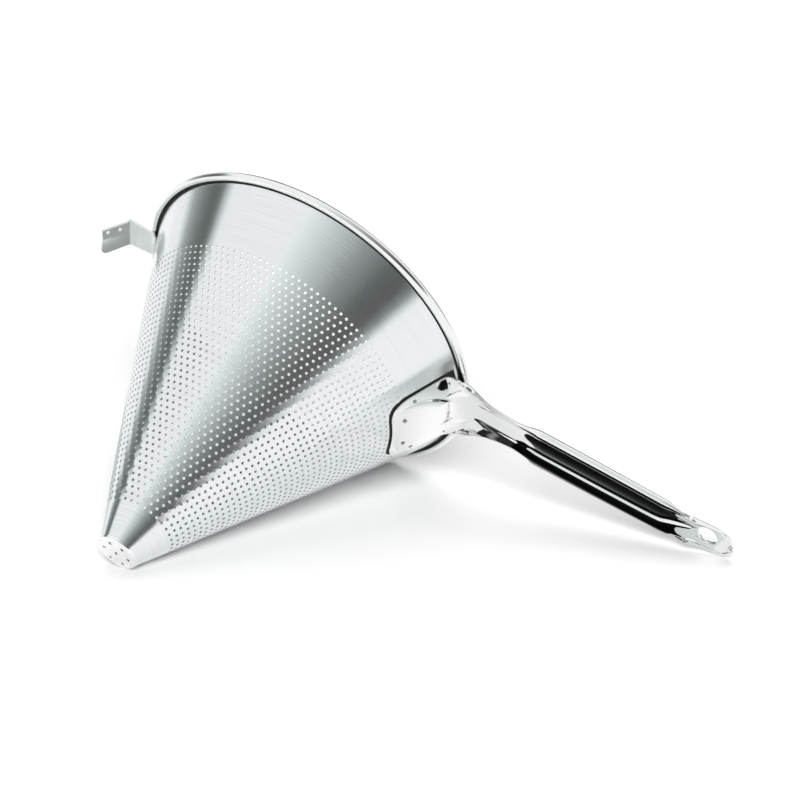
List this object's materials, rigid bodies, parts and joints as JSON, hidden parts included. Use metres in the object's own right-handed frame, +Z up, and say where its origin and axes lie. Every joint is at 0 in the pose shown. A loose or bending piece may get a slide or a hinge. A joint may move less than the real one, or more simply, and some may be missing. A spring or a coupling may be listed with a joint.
{
  "type": "conical strainer",
  "caption": "Chinois: conical perforated steel strainer with rolled wire rim, pressed channel handle, hanging eye and pot hook, lying on its side.",
  "frame": {"origin": "on the floor under the middle of the whole part's box, as it lies at rest", "axes": "+Z up, floor at z = 0; +X from the cone's tip towards the handle's end; the mouth opens towards +Y and up, away from the picture's camera"},
  "size_m": [0.322, 0.204, 0.1794],
  "materials": {
    "body_steel": "stainless sheet, brushed round the axis",
    "wire_steel": "plain drawn wire",
    "handle_steel": "stainless sheet, polished",
    "weld_steel": "spot-weld marks, dull"
  },
  "bodies": {
    "root": {"strainer_cone": "body_steel", "rim_wire": "wire_steel", "tip_cap": "body_steel", "handle": "handle_steel", "pot_hook": "handle_steel", "handle_spot_welds": "weld_steel", "hook_spot_welds": "weld_steel"}
  },
  "joints": []
}
